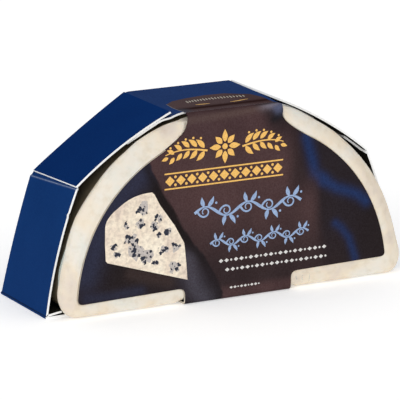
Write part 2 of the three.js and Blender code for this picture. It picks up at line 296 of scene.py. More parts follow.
def filled(outline, spacing, top_rows=()):
    """A triangulated flat area: its points and faces. The top rows replace the points there."""
    low, high = outline.min(axis=0), outline.max(axis=0)
    rows = np.arange(low[1], high[1], spacing * 0.87)
    columns = np.arange(low[0], high[0], spacing)
    inner = np.array([(c + (r % 2) * spacing / 2, z) for r, z in enumerate(rows) for c in columns])
    if len(top_rows):
        inner = inner[inner[:, 1] < np.min(top_rows, axis=0)[1] - spacing / 2]
        inner = np.concatenate([inner, top_rows])
    inner = inner[inside_polygon(inner, outline)]
    inner = inner[line_distance(inner, [*outline, outline[0]]) > spacing * 0.3]
    everything = [Vector(p) for p in np.concatenate([outline, inner])]
    boundary = [list(range(len(outline)))]
    points, _, faces, *_ = geometry.delaunay_2d_cdt(everything, [], boundary, 1, 1e-5)
    return np.array([tuple(p) for p in points]), [tuple(face) for face in faces]


def soften_edges(piece, width=EDGE_SOFTENING, made=-1):
    """Rounds the sharp edges a little, with the material of that number."""
    bevel = piece.modifiers.new("softened edges", "BEVEL")
    bevel.width = width * MM
    bevel.material = made
    bevel.segments = 2
    bevel.limit_method = "ANGLE"
    bevel.angle_limit = math.radians(50)


def set_attribute(piece, name, values):
    attribute = piece.data.attributes.new(name, "FLOAT", "POINT")
    attribute.data.foreach_set("value", np.asarray(values, np.float32))


# The carton's arch

SHOULDER_SLOPE = (HEIGHT - KNEE_HEIGHT) / (KNEE_HALF - TOP_HALF)
SHOULDER_TILT = math.atan(SHOULDER_SLOPE)
SIDE_TILT = math.atan((BASE_HALF - KNEE_HALF) / KNEE_HEIGHT)
FLAP_INSET = BOARD + LAYER_GAP


def shoulder_line(x, inset=0.0):
    return HEIGHT - (x - TOP_HALF) * SHOULDER_SLOPE - inset / math.cos(SHOULDER_TILT)


SIDE_KNEE = (KNEE_HALF, shoulder_line(KNEE_HALF, FLAP_INSET))


def settled(x, y, z, layer):
    """Where points of the arch come to rest.

    The panels swell, most of all at the open front. Towards the back the sides flare, the shoulders'
    lower edges draw in and the left knee runs down. At the front, the upper edge of each shoulder
    springs up.
    """
    reach, side = np.abs(x), np.sign(x)
    back = np.clip((y - Y_MOUTH) / DEPTH, 0, 1)
    on_shoulder = (reach < KNEE_HALF - BOARD / 2) & (z > KNEE_HEIGHT / 2)
    along_shoulder = np.clip((KNEE_HALF - reach) / (KNEE_HALF - TOP_HALF), 0, 1)
    up = np.clip(z / KNEE_HEIGHT, 0, 1)
    along = np.where(on_shoulder, along_shoulder, up)
    tilt = np.where(on_shoulder, SHOULDER_TILT, math.pi / 2 - SIDE_TILT)
    bow = np.where(on_shoulder, SHOULDER_BOW, SIDE_BOW)
    swell = 4 * along * (1 - along) * (bow - (bow - BACK_BOW) * back)
    flare = -KNEE_DRAW if layer == "shoulder" else BASE_FLARE + (KNEE_FLARE - BASE_FLARE) * up
    shift = np.clip((reach - KNEE_HALF + KNEE_ZONE) / KNEE_ZONE, 0, 1) * back * flare
    to_knee = np.minimum(up, 1 - along_shoulder)
    lift = BACK_LIFT * back * along_shoulder * (z > KNEE_HEIGHT)
    spring = SHOULDER_SPRING * (1 - back) * along_shoulder**3 * (z > KNEE_HEIGHT)
    if layer != "shoulder":
        spring = spring * smoothstep(reach, TOP_HALF, TOP_FLAP_BEND)
    x_new = x + side * (np.sin(tilt) * swell + shift)
    z_new = z + np.cos(tilt) * swell - shift * SHOULDER_SLOPE * up**2 + spring + lift
    return x_new, z_new - np.where(x < 0, KNEE_DROP * back * to_knee, 0)


def folded_strip(name, path, layer, front=None, wear=None, joined=False, spacing=GRID):
    """A strip of board that follows the path and runs back from the mouth into the back panel."""
    path = subdivided(path, spacing)
    normals = path_normals(path)
    start = np.full(len(path), Y_MOUTH) + (0 if front is None else front(path))
    rows = [(share, 0.0) for share in np.linspace(0, 1, 24)[:-1]]
    rows += [(1.0, turn) for turn in np.linspace(0, math.pi / 2, 6)]
    outer, inner = [], []
    for share, turn in rows:
        depth = start + (Y_BACK - BACK_FOLD - start) * share
        x, z = settled(path[:, 0], depth, path[:, 1], layer)
        face = np.stack([x, z], axis=1)
        for distance, sheet in ((0.0, outer), (BOARD, inner)):
            radius = BACK_FOLD - distance
            line = face - normals * (BACK_FOLD - radius * math.cos(turn))
            y = depth + max(radius, 0) * math.sin(turn)
            sheet.append(np.stack([line[:, 0], y, line[:, 1]], axis=1))
    columns, last = len(path), len(rows) - 1

    def rim_material(a, b):
        at_back = a // columns == last and b // columns == last
        at_side = a % columns == b % columns
        return 0 if at_back or (joined and at_side) else 2

    sheets = (np.concatenate(outer), np.concatenate(inner))
    printed = shoulder_blue_painted_shade if layer == "shoulder" else printed_blue
    materials = [printed, board_inside_painted_shade, raw_edge]
    piece = slab(name, *sheets, grid_faces(len(rows), columns), materials, rim_material)
    if wear is not None:
        set_attribute(piece, "wear", np.tile(wear(path), 2 * len(rows)))
    soften_edges(piece, made=-1 if joined else 2)


def side_path(side):
    flap = KNEE_HALF - KNEE_FLAP * math.cos(SHOULDER_TILT)
    foot = -BASE_HALF + BOARD * math.tan(SIDE_TILT)
    corners = [
        (foot + BASE_FLAP, BOARD + BASE_FLAP_RISE),
        (foot, BOARD - FOOT_TUCK),
        (-SIDE_KNEE[0], SIDE_KNEE[1]),
        (-flap, shoulder_line(flap, FLAP_INSET)),
    ]
    left = rounded(corners, (FOOT_RADIUS, KNEE_RADIUS))
    return left if side < 0 else mirrored(left)


def shoulder_path(side):
    lower = KNEE_HALF + KNEE_OVERHANG
    left = [(-lower, shoulder_line(lower)), (-TOP_HALF, HEIGHT)]
    return left if side < 0 else mirrored(left)


# The flat blank of the top panel and the front card

ARC_TOP = math.pi / 2 * TOP_BEND
ARC_BOTTOM = math.pi / 2 * BOTTOM_BEND
H_TOP_BEND = HEIGHT - TOP_BEND
H_TOP_FLAT = H_TOP_BEND + ARC_TOP
H_MOUTH = H_TOP_FLAT + (Y_MOUTH - (Y_FACE + TOP_BEND))
H_BACK_FOLD = H_MOUTH + DEPTH - BACK_FOLD
H_BACK_END = H_BACK_FOLD + math.pi / 2 * BACK_FOLD
H_BASE_FLAT = BOTTOM_BEND - ARC_BOTTOM
H_BASE_MOUTH = H_BASE_FLAT - (Y_MOUTH - (Y_FACE + BOTTOM_BEND))


def top_profile(bend, inset):
    """The right half of the top panel's cross-section, from the middle to the end of its flap.

    The result has four columns, the position and the normal, at equal steps along the board.
    """
    start, corner, end = bend
    curve = curve_points((start, HEIGHT), (corner, HEIGHT), (end, shoulder_line(end, inset)), 16)
    tip = (TOP_FLAP_END, shoulder_line(TOP_FLAP_END, inset))
    path = subdivided([(0, HEIGHT), *curve, tip], GRID)
    length = np.concatenate([[0], np.cumsum(np.linalg.norm(np.diff(path, axis=0), axis=1))])
    rows = np.concatenate([path, path_normals(path)], axis=1)
    steps = np.linspace(0, PANEL_HALF, 60)
    return np.stack([np.interp(steps, length, rows[:, i]) for i in range(4)], axis=1)


TOP_CORNER = TOP_HALF - FLAP_INSET / math.cos(SHOULDER_TILT) / SHOULDER_SLOPE
FRONT_LEFT = top_profile((12.5, TOP_CORNER, TOP_FLAP_BEND), BOARD + TOUCHING_GAP)
FRONT_RIGHT = top_profile((15.2, 16.7, 19), FLAP_INSET)
BACK_PROFILE = top_profile((16.8, 17.2, 18), FLAP_INSET)


def place_on_blank(points, lift=0.0):
    """Positions in space of flat points (u, h) of the blank, lifted off its outer face."""
    u, h = points[:, 0], points[:, 1]
    side = np.where(u < 0, -1.0, 1.0)
    top_turn = np.clip((h - H_TOP_BEND) / TOP_BEND, 0, math.pi / 2)
    base_turn = np.clip((BOTTOM_BEND - h) / BOTTOM_BEND, 0, math.pi / 2)
    y = Y_FACE + TOP_BEND * (1 - np.cos(top_turn)) + np.clip(h - H_TOP_FLAT, 0, None)
    y = y + BOTTOM_BEND * (1 - np.cos(base_turn)) + np.clip(H_BASE_FLAT - h, 0, None)
    y = np.minimum(y, Y_BACK - BACK_FOLD)
    z = np.clip(h, BOTTOM_BEND, H_TOP_BEND) + TOP_BEND * np.sin(top_turn)
    z = z - BOTTOM_BEND * np.sin(base_turn)

    back = smoothstep(y, Y_MOUTH, Y_MOUTH + DEPTH * BEND_SHARE)
    steps = np.linspace(0, PANEL_HALF, len(BACK_PROFILE))
    left, right, flat = (
        [np.interp(np.abs(u), steps, column) for column in profile.T]
        for profile in (FRONT_LEFT, FRONT_RIGHT, BACK_PROFILE)
    )
    x_top, z_top, nx_top, nz_top = (
        np.where(u < 0, a, b) * (1 - back) + c * back for a, b, c in zip(left, right, flat)
    )
    to_top = smoothstep(h, H_TOP_BEND, H_MOUTH)
    x = u + (side * x_top - u) * to_top
    z = z + (z_top - HEIGHT) * to_top
    level = np.sin(top_turn) - np.sin(base_turn) + (nz_top - 1) * to_top
    forward = -np.cos(top_turn) * np.cos(base_turn)
    normal = unit(np.stack([side * nx_top * to_top, forward, level], axis=1))

    fold = np.clip((h - H_BACK_FOLD) / BACK_FOLD, 0, math.pi / 2)
    over = BACK_FOLD * (1 - np.cos(fold))
    x_rest, z_rest = settled(x, y, z, "top")
    behind = h > H_MOUTH - EDGE_TOLERANCE
    x = np.where(behind, x_rest, x) - normal[:, 0] * over
    z = np.where(behind, z_rest, z) - normal[:, 2] * over
    y = y + BACK_FOLD * np.sin(fold)
    turned = normal * np.cos(fold)[:, None]
    turned[:, 1] += np.sin(fold)
    return np.stack([x, y, z], axis=1) + unit(turned) * lift


def card_edge(z, number):
    """How far the edge of the card is from its middle line at a height, on side 0 or 1."""
    power = CARD_POWERS[number]
    rise = (z - CARD_CENTRE) / CARD_RISES[number]
    return CARD_HALVES[number] * (1 - rise**power) ** (1 / power)


def lobe_bottom(x):
    return CARD_BOTTOM + x * CARD_SLOPE


def card_side(number):
    """Side 0 or 1 of the blank's outline, from the base panel up to the back fold."""
    side = (-1, 1)[number]
    power, fillet, reach = CARD_POWERS[number], TOP_NECK_FILLETS[number], CARD_HALVES[number]
    half, neck, flap = (side * size for size in (reach, TOP_NECK_HALF, PANEL_HALF))
    low = lobe_bottom(half)
    above = low + CARD_CORNER
    width = TOP_NECK_HALF + fillet
    join = CARD_CENTRE + CARD_RISES[number] * (1 - (width / reach) ** power) ** (1 / power)
    foot = BOTTOM_NECK[number]
    foot_top = lobe_bottom(foot)
    outward = foot + side * BOTTOM_NECK_FILLET

    points = [(foot, h) for h in (H_BASE_MOUTH, H_BASE_FLAT, BOTTOM_BEND)]
    points += curve_points(
        (foot, foot_top - BOTTOM_NECK_FILLET), (foot, foot_top), (outward, lobe_bottom(outward))
    )
    points += curve_points(
        (half - side * CARD_CORNER, low), (half, low), (side * card_edge(above, number), above)
    )
    for angle in np.linspace(0, math.pi / 2, CARD_ARC_STEPS)[1:-1]:
        z = above + (join - above) * math.sin(angle)
        points.append((side * card_edge(z, number), z))
    points += curve_points(
        (side * width, join), (neck, join + fillet * TOP_NECK_SLOPE), (neck, TOP_NECK_START), 12
    )
    leans = zip(NECK_LEANS[number], (NECK_LEAN_START, H_TOP_FLAT, H_MOUTH))
    points += [(neck + lean, h) for lean, h in leans]
    points += [(u, H_MOUTH + behind) for u, behind in FLAP_FRONTS[number]]
    return [*points, (flap, H_BACK_FOLD), (flap - side * BACK_CORNER_CUT, H_BACK_END)]


def blank_outline():
    left, right = card_side(0), card_side(1)
    return subdivided([*right, *reversed(left), right[0]], CARD_GRID)[:-1]


# Materials


def nodes_of(made):
    made.use_nodes = True
    return made.node_tree.nodes, made.node_tree.links


def connect(made, node, inputs):
    """Sets a node's inputs, by name or number, to values or to the outputs of other nodes."""
    for name, value in inputs.items():
        if hasattr(value, "links"):
            nodes_of(made)[1].new(value, node.inputs[name])
        else:
            node.inputs[name].default_value = value


def add_node(made, kind, inputs=None):
    node = nodes_of(made)[0].new("ShaderNode" + kind)
    connect(made, node, inputs or {})
    return node


def feed(made, inputs):
    connect(made, nodes_of(made)[0]["Principled BSDF"], inputs)


def new_material(name, **sockets):
    made = bpy.data.materials.new(name)
    feed(made, {socket.replace("_", " "): value for socket, value in sockets.items()})
    return made


def noise_node(made, scale, detail=2.0, roughness=0.5, stretch=(1, 1, 1)):
    """A noise texture in object space, with its scale in cycles per millimetre."""
    place = add_node(made, "TexCoord").outputs["Object"]
    mapping = {"Vector": place, "Scale": [scale / MM * s for s in stretch]}
    mapped = add_node(made, "Mapping", mapping).outputs["Vector"]
    inputs = {"Vector": mapped, "Scale": 1.0, "Detail": detail, "Roughness": roughness}
    return add_node(made, "TexNoise", inputs).outputs["Fac"]


def ramp_node(made, factor, stops):
    """A colour ramp. Stops are (position, colour)."""
    ramp = add_node(made, "ValToRGB", {"Fac": factor})
    elements = ramp.color_ramp.elements
    elements.remove(elements[-1])
    elements[0].position, elements[0].color = stops[0]
    for position, colour in stops[1:]:
        elements.new(position).color = colour
    return ramp.outputs["Color"]


def mix_node(made, mode, factor, first, second):
    mix = add_node(made, "Mix")
    mix.data_type = "RGBA"
    mix.blend_type = mode
    connect(made, mix, {0: factor, 6: first, 7: second})
    return mix.outputs[2]


def range_node(made, value, low, high, to_low=0.0, to_high=1.0):
    inputs = {"Value": value, "From Min": low, "From Max": high, "To Min": to_low, "To Max": to_high}
    return add_node(made, "MapRange", inputs).outputs["Result"]


def attribute_node(made, name, output="Fac"):
    reader = add_node(made, "Attribute")
    reader.attribute_name = name
    return reader.outputs[output]


def add_bump(made, layers):
    """Bump from several heights. Layers are (height socket, depth in millimetres)."""
    inputs = {}
    for height, depth in layers:
        bump = add_node(made, "Bump", {**inputs, "Height": height, "Distance": depth * MM})
        inputs = {"Normal": bump.outputs["Normal"]}
    feed(made, inputs)


WHITE = (1, 1, 1, 1)


def printed_board(name, colour=None, mottle=(224, 230, 236), coat=0.015):
    """Coated board printed in one colour, or else in the colours of the attribute ink, which also holds
    painted shade, highlights and sheen.
    """
    made = new_material(name, Specular_IOR_Level=0.0, Coat_Weight=coat, Coat_Roughness=0.22)
    grain = noise_node(made, 2.2, 3, 0.6)
    cloud = noise_node(made, 0.06, 2)
    tint = ramp_node(made, grain, [(0.32, linear(*mottle)), (0.68, WHITE)])
    shade = ramp_node(made, cloud, [(0.3, linear(238, 241, 244)), (0.7, WHITE)])
    base = mix_node(made, "MULTIPLY", 1.0, tint, shade)
    printed = linear(*colour) if colour else attribute_node(made, "ink", "Color")
    base = mix_node(made, "MULTIPLY", 1.0, printed, base)
    scuffs = range_node(made, grain, 0.35, 0.6, 0.25, 0.75)
    worn = mix_node(made, "MULTIPLY", 1.0, attribute_node(made, "wear"), scuffs)
    base = mix_node(made, "MIX", worn, base, linear(150, 164, 190))
    feed(made, {"Base Color": base, "Roughness": range_node(made, grain, 0.3, 0.7, 0.4, 0.52)})
    fibre = noise_node(made, 0.9, 4, 0.6, (1, 1, 0.35))
    add_bump(made, [(fibre, 0.015), (grain, 0.006)])
    return made


printed_blue = printed_board("printed_blue", (22, 58, 113))
# The shoulders get a darker copy of the side blue: painted shade for the dimmer light that falls on
# them.
shoulder_blue_painted_shade = printed_board("shoulder_blue_painted_shade", (12, 48, 104))
print_and_painted_light_card = printed_board("print_and_painted_light_card", mottle=(222, 212, 212), coat=0.02)


def fibrous(name, dark, light, roughness):
    made = new_material(name, Roughness=roughness, Specular_IOR_Level=0.2)
    fibre = noise_node(made, 3.5, 4, 0.65)
    feed(made, {"Base Color": ramp_node(made, fibre, [(0.3, linear(*dark)), (0.65, linear(*light))])})
    add_bump(made, [(fibre, 0.04)])
    return made


raw_edge = fibrous("raw_board_edge", (244, 245, 244), (255, 255, 254), 0.8)
# The card's cut edge is a shaded cream instead of white board: painted shade, so the lit edge merges
# with the cheese beside it.
card_edge_shaded_cream = fibrous("cut_card_edge", (196, 188, 174), (214, 206, 192), 0.85)
# Near-black inner face of the board: painted shade standing for the dark inside of the carton.
board_inside_painted_shade = fibrous("board_inside_painted_shade", (22, 21, 16), (34, 32, 25), 0.9)


def filmed_rind():
    """Ivory rind with soft warm patches, under tight film that shines a little, with painted shade where
    it runs back into the carton.
    """
    made = new_material(
        "filmed_rind",
        Specular_IOR_Level=0.3,
        Coat_Weight=0.3,
        Coat_Roughness=0.16,
        Coat_IOR=1.48,
        Subsurface_Weight=0.12,
        Subsurface_Scale=0.004,
        Subsurface_Radius=(1.0, 0.7, 0.45),
    )
    patches = noise_node(made, 0.075, 3, 0.55)
    spots = noise_node(made, 0.4, 3, 0.55)
    creams = ((222, 220, 210), (229, 222, 209), (230, 217, 196), (217, 204, 191))
    stops = [(place, linear(*cream)) for place, cream in zip((0.3, 0.42, 0.55, 0.7), creams)]
    cream = ramp_node(made, patches, stops)
    freckle = ramp_node(made, spots, [(0.28, linear(238, 234, 226)), (0.5, WHITE)])
    base = mix_node(made, "MULTIPLY", 0.6, cream, freckle)
    # Painted shade: the rind darkens where it runs back inside the carton.
    away = attribute_node(made, "painted_shade_inside_carton")
    shaded = mix_node(made, "MULTIPLY", away, base, linear(136, 130, 116))
    feed(made, {"Base Color": shaded, "Roughness": range_node(made, spots, 0.3, 0.7, 0.42, 0.58)})
    wrinkle = noise_node(made, 0.35, 3, 0.6, (1, 0.4, 1))
    pores = noise_node(made, 1.4, 3, 0.6)
    add_bump(made, [(wrinkle, 0.1), (pores, 0.02)])
    return made


rind = filmed_rind()


def flat_ink(name, colour, dark=(226, 224, 220)):
    made = new_material(name, Roughness=0.4, Specular_IOR_Level=0.2)
    tint = ramp_node(made, noise_node(made, 2.6, 2), [(0.3, linear(*dark)), (0.65, WHITE)])
    feed(made, {"Base Color": mix_node(made, "MULTIPLY", 1.0, linear(*colour), tint)})
    return made


gold_ink = flat_ink("gold_ink", (246, 194, 106))
fine_ink = flat_ink("fine_ink", (184, 176, 162))
pale_blue_ink = flat_ink("pale_blue_ink", (158, 180, 213), (206, 212, 222))
white_ink = flat_ink("white_ink", (226, 224, 222))
mould_ink = flat_ink("mould_ink", (50, 54, 68), (130, 138, 160))
halo_ink = flat_ink("halo_ink", (200, 192, 186), (214, 212, 212))
rim_ink = flat_ink("rim_ink", (112, 110, 114))


def paste_ink():
    """The printed picture's cream paste, with soft warm and grey clouds."""
    made = new_material("paste_ink", Roughness=0.42, Specular_IOR_Level=0.15)
    stops = [(0.3, linear(248, 237, 216)), (0.5, linear(240, 225, 204)), (0.7, linear(222, 204, 188))]
    paste = ramp_node(made, noise_node(made, 0.2, 3), stops)
    fine = noise_node(made, 0.9, 3, 0.6)
    grain = ramp_node(made, fine, [(0.3, linear(222, 220, 220)), (0.6, WHITE)])
    feed(made, {"Base Color": mix_node(made, "MULTIPLY", 1.0, paste, grain)})
    return made


picture_ink = paste_ink()

clear_film = new_material("clear_film", Roughness=0.12, Alpha=0.3, Base_Color=linear(214, 228, 224))
film_grain = noise_node(clear_film, 0.8, 2)
feed(clear_film, {"Roughness": range_node(clear_film, film_grain, 0.3, 0.7, 0.08, 0.24)})
add_bump(clear_film, [(film_grain, 0.03)])


# The carton's pieces


def make_sides():
    nick_height, nick_depth, nick_width = 29, 0.35, 0.5
    fold_back, fold_zone = 2, (0.2, 1.5)
    wear_strength, wear_width = 1.2, 0.13

    def front(path):
        """How far the front edge lies behind the mouth: at the nick, and on the flap past the knee."""
        x, z = path.T
        nick = nick_depth * np.exp(-(((z - nick_height) / nick_width) ** 2)) * (x < 0)
        past_knee = smoothstep(KNEE_HALF - np.abs(x), *fold_zone) * (z > KNEE_HEIGHT / 2)
        return nick + fold_back * past_knee

    def wear(path):
        distance = np.hypot(np.abs(path[:, 0]) - SIDE_KNEE[0], path[:, 1] - SIDE_KNEE[1])
        return wear_strength * np.exp(-((distance / wear_width) ** 2))

    for side, name in ((-1, "side_left"), (1, "side_right")):
        folded_strip(name, side_path(side), "side", front=front, wear=wear, spacing=SIDE_GRID)


def make_shoulders_and_base():
    folded_strip("shoulder_left", shoulder_path(-1), "shoulder")
    folded_strip("shoulder_right", shoulder_path(1), "shoulder")
    folded_strip("base_panel", [(BASE_HALF, 0), (-BASE_HALF, 0)], "side", joined=True)


def make_back():
    """The back panel, whose edges meet the turned ends of the other panels."""
    halves = []
    for side in (-1, 1):
        half = []
        for layer, low, high in (
            ("side", (BASE_HALF, 0), SIDE_KNEE),
            ("shoulder", (KNEE_HALF, KNEE_HEIGHT), (TOP_HALF, HEIGHT)),
        ):
            x, z = (subdivided([low, high], GRID) * (side, 1)).T
            half.append(np.stack(settled(x, np.full(len(x), Y_BACK), z, layer), axis=1))
        halves.append(np.concatenate(half))
    outline = np.concatenate([halves[0], halves[1][::-1]])
    along = unit(np.roll(outline, -1, axis=0) - np.roll(outline, 1, axis=0))
    outline = outline - np.stack([-along[:, 1], along[:, 0]], axis=1) * (BACK_FOLD - BACK_SEAM)
    outline = subdivided([*outline, outline[0]], BACK_GRID)[:-1]
    points, faces = filled(outline[::-1], BACK_GRID)
    outer = np.stack([points[:, 0], np.full(len(points), Y_BACK), points[:, 1]], axis=1)
    inner = outer - np.array([0, BOARD, 0])
    faces = [tuple(reversed(face)) for face in faces]
    piece = slab("back_panel", outer, inner, faces, [printed_blue, board_inside_painted_shade])


# Colours printed on the blank, with painted shade, highlights and sheen among them

INK = {
    "brown_high": (78, 59, 60),
    "brown_mid": (84, 64, 64),
    "brown_low": (58, 47, 48),
    # bend, cool, gloss and coal are painted highlight, glint and shade; blue and steel carry painted
    # sheen
    "bend": (98, 80, 76),
    "navy": (40, 56, 96),
    "night": (47, 41, 45),
    "dusk": (42, 36, 36),
    "slate": (76, 73, 82),
    "ash": (64, 53, 51),
    "violet": (52, 54, 72),
    "blue": (40, 66, 117),
    "steel": (76, 78, 88),
    "cool": (146, 142, 156),
    "gloss": (92, 100, 128),
    "coal": (34, 33, 36),
    "top_brown": (90, 74, 75),
    "top_dark": (44, 22, 20),
}
INK = {name: np.array(linear(*colour)[:3]) for name, colour in INK.items()}

# Soft folds of the printed cloth on the card: (ink, line, width, strength)
FOLDS = [
    ("navy", [(23.1, 44.7), (24.3, 40.7), (25.2, 37.4), (26, 33.9), (28.7, 31.6)], 1.8, 1.0),
    ("navy", [(29, 31.3), (33.1, 28.6), (37.3, 27.1), (40.7, 25.5), (43.2, 23.4)], 1.7, 1.0),
    ("navy", [(33, 18), (34.9, 16.5), (37.5, 13.1), (38.8, 9.6), (39.7, 6.8)], 1.3, 0.85),
    ("violet", [(-47, 12), (-43.5, 22), (-37, 33), (-29, 40)], 4.2, 1.0),
    ("violet", [(-47, 6), (-40, 5.6), (-30, 6.2)], 1.6, 0.8),
    ("ash", [(-33, 11.5), (-27, 9.5), (-21, 7.5)], 2.2, 0.9),
    ("slate", [(-9.5, 0.5), (-12.5, 4), (-14.5, 9), (-15.2, 13)], 3.2, 1.0),
]
# Painted shade under the top bend and a painted glint beside the neck, in the same form as the folds
NECK_SHADE = ("coal", [(15.5, 52.4), (12.5, 51)], 1.1, 0.85)
NECK_GLOSS = ("gloss", [(14, 54), (17, 56)], 1.5, 0.9)
BEND_HIGHLIGHT_LINE = [(-15, 53.6), (4, 54.4), (16, 56)]

# The edges of the brown stripe: heights, and where the edge is at them
BROWN_LEFT = (
    (2.6, 8.0, 13.6, 17.3, 22.5, 28.3, 33.4, 40.4),
    (-4.0, -6.5, -9.7, -12.9, -16.5, -19.6, -22.8, -26.3),
)
BROWN_LEFT_SLOPE = 0.3
BROWN_RIGHT = ((0, 5.5, 25.5, 45.5, 52.5), (35, 34, 26, 17, 12))


def blended(first, second, share):
    return first + (second - first) * share[:, None]


def glow(points, line, width):
    """How near points are to a line: 1 on it, and falling off over the width."""
    return np.exp(-((line_distance(points, line) / width) ** 2))


def tinted(colour, points, fold):
    """The colours with one printed fold, or one painted shade or glint, over them."""
    ink, line, width, strength = fold
    return blended(colour, INK[ink], strength * glow(points, line, width))


def ink_colours(points):
    """The colours of the print at points (u, h) of the blank, with painted shade and highlights at the
    neck and the top bend, and painted sheen on the top panel.
    """
    u, h = points.T
    wander = np.array([noise.noise(Vector((x * 0.06, z * 0.06, 1.7))) for x, z in points])
    ripple = np.array([noise.noise(Vector((x * 0.15, z * 0.05, 9.1))) for x, z in points])

    satin = blended(INK["night"], INK["dusk"], np.clip(0.5 + wander * 0.9, 0, 1))
    for fold in FOLDS:
        satin = tinted(satin, points, fold)

    left_edge = np.interp(h, *BROWN_LEFT)
    left_edge = left_edge - BROWN_LEFT_SLOPE * np.clip(h - BROWN_LEFT[0][-1], 0, None)
    right_edge = np.interp(h, *BROWN_RIGHT) + ripple * 5
    shadow = np.exp(-(((u - left_edge + 1.3) / 1.6) ** 2)) * (u < left_edge) * smoothstep(h, 4, 14)
    satin = blended(satin, INK["dusk"] * 0.75, shadow * 0.7)
    brown = blended(INK["brown_low"], INK["brown_mid"], smoothstep(h, 6, 30.5))
    brown = blended(brown, INK["brown_high"], smoothstep(h, 38.5, 50))
    brown = blended(brown, INK["brown_mid"], 1 - smoothstep(h, 2, 5))
    brown = brown * (1 + 0.14 * ripple[:, None])
    in_brown = smoothstep(u - left_edge, -0.2, 0.2) * (1 - smoothstep(u - right_edge, -6, 5))
    colour = tinted(blended(satin, brown, in_brown), points, NECK_SHADE)
    # Painted highlight along the top bend: warm on the left, cooler grey on the right.
    to_right = smoothstep(u, 6, 14.5)
    bend = INK["bend"] + (INK["cool"] - INK["bend"]) * to_right[:, None]
    colour = blended(colour, bend, glow(points, BEND_HIGHLIGHT_LINE, 1.3) * 0.85)
    colour = tinted(colour, points, NECK_GLOSS)

    # The top panel's blue is lighter and greyer than the sides': painted sheen from the light it
    # reflects at a low angle.
    on_top = smoothstep(h, H_MOUTH - 1.2, H_MOUTH - 0.4)
    return blended(colour, np.tile(INK["blue"], (len(u), 1)), on_top)


def top_field_colours(points):
    u, depth = points[:, 0], points[:, 1] - H_MOUTH
    brown = np.tile(INK["top_brown"], (len(u), 1))
    colour = blended(brown, INK["brown_high"], smoothstep(u, 4, 12) * 0.6)
    colour = blended(colour, INK["top_dark"], np.exp(-(((depth - 2.4) / 1.5) ** 2)) * 0.95)
    # Painted sheen: steel grey over the left front of the brown field.
    return blended(colour, INK["steel"], (1 - smoothstep(u, -14, -9)) * (1 - smoothstep(depth, 1, 5)))


def painted(piece, colours):
    """Gives the first vertices of a piece these colours, and the rest white."""
    values = np.ones((len(piece.data.vertices), 4), np.float32)
    values[: len(colours), :3] = colours
    attribute = piece.data.color_attributes.new("ink", "FLOAT_COLOR", "POINT")
    attribute.data.foreach_set("color", values.ravel())


def make_blank():
    """The top panel, the front card and its necks: one sheet, bent at the top and at the base."""
    levels = np.linspace(H_BACK_FOLD, H_BACK_END, 5)[:-1]
    across = np.arange(-PANEL_HALF, PANEL_HALF, 2 * CARD_GRID)
    points, faces = filled(blank_outline(), CARD_GRID, [(u, h) for h in levels for u in across])

    def rim_material(a, b):
        low, high = sorted((points[a][1], points[b][1]))
        if low > H_MOUTH - EDGE_TOLERANCE:
            return 0 if low > H_BACK_END - BACK_RIM else 2
        return 0 if high > NECK_RIM else 3

    sheets = (place_on_blank(points), place_on_blank(points, -BOARD))
    made = [print_and_painted_light_card, board_inside_painted_shade, raw_edge, card_edge_shaded_cream]
    piece = slab("top_and_card", *sheets, faces, made, rim_material)
    painted(piece, np.tile(ink_colours(points), (2, 1)))
    soften_edges(piece, CARD_EDGE_SOFTENING)
    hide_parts("carton")


# Ornaments printed on the blank, as flat shapes in (u, h): lists of points and faces


def stroke(line, widths):
    """A band along a line, as wide as the numbers say."""
    line = np.array(line, float)
    across = path_normals(line) * np.broadcast_to(np.asarray(widths, float), len(line))[:, None] / 2
    left, right = line + across, line - across
    count = len(line)
    faces = [(i + count, i + count + 1, i + 1, i) for i in range(count - 1)]
    return np.concatenate([left, right]), faces


def around(u, h, reaches):
    """A closed shape round a point, from its reaches at equal turns."""
    angles = np.linspace(0, 2 * math.pi, len(reaches), endpoint=False)
    points = [(u + reach * math.cos(a), h + reach * math.sin(a)) for reach, a in zip(reaches, angles)]
    return np.array(points), [tuple(range(len(reaches)))]


def disc(u, h, radius, count=14):
    return around(u, h, [radius] * count)


def blob(u, h, radius, seed):
    """A ragged spot."""
    angles = np.linspace(0, 2 * math.pi, 12, endpoint=False)
    bumps = [noise.noise(Vector((math.cos(a) * 1.3, math.sin(a) * 1.3, seed))) for a in angles]
    return around(u, h, [radius * (1 + 1.1 * bump) for bump in bumps])


def lozenge(u, h, reach, tall):
    """A spindle that lies along its row."""
    return stroke([(u - reach, h), (u, h), (u + reach, h)], [0.1, tall, 0.1])


def walk(u, h, heading, length):
    """A line from a point that takes equal steps in the headings, in degrees."""
    turned = np.radians(heading)
    steps = np.stack([np.cos(turned), np.sin(turned)], axis=1) * length / (len(turned) - 1)
    return np.concatenate([[(0, 0)], np.cumsum(steps[:-1], axis=0)]) + (u, h)


def leaf(u, h, angle, length, width, bend=0.0):
    """A pointed leaf from its root, which turns by the bend on its way."""
    t = np.linspace(0, 1, 9)
    widths = np.maximum(width * np.sin(math.pi * t**0.8), 0.05)
    return stroke(walk(u, h, angle + bend * t, length), widths)


def curl(u, h, angle, length, turn, width):
    """A tendril that turns ever more tightly."""
    t = np.linspace(0, 1, 22)
    return stroke(walk(u, h, angle + turn * t**1.6, length), width * (1 - 0.55 * t))


def flipped(shape, middle):
    """The mirror image of a shape about a vertical line."""
    points, faces = shape
    return points * (-1, 1) + (2 * middle, 0), [tuple(reversed(face)) for face in faces]


def decal(name, shapes, made, layer=0):
    """Ink as a thin layer on the blank, made of flat shapes that may overlap.

    Returns the piece and the flat points of its mesh.
    """
    lift = INK_LIFT + layer * INK_LAYER
    points, faces = [], []
    for shape_points, shape_faces in shapes:
        faces += [[i + len(points) for i in face] for face in shape_faces]
        points += [Vector(p) for p in shape_points]
    points, _, faces, _, _, sources = geometry.delaunay_2d_cdt(points, [], faces, 1, 1e-5)
    faces = [tuple(face) for face, source in zip(faces, sources) if source]
    points = np.array([tuple(p) for p in points])
    piece = slab(name, place_on_blank(points, lift), place_on_blank(points, -lift), faces, [made, made])
    return piece, points


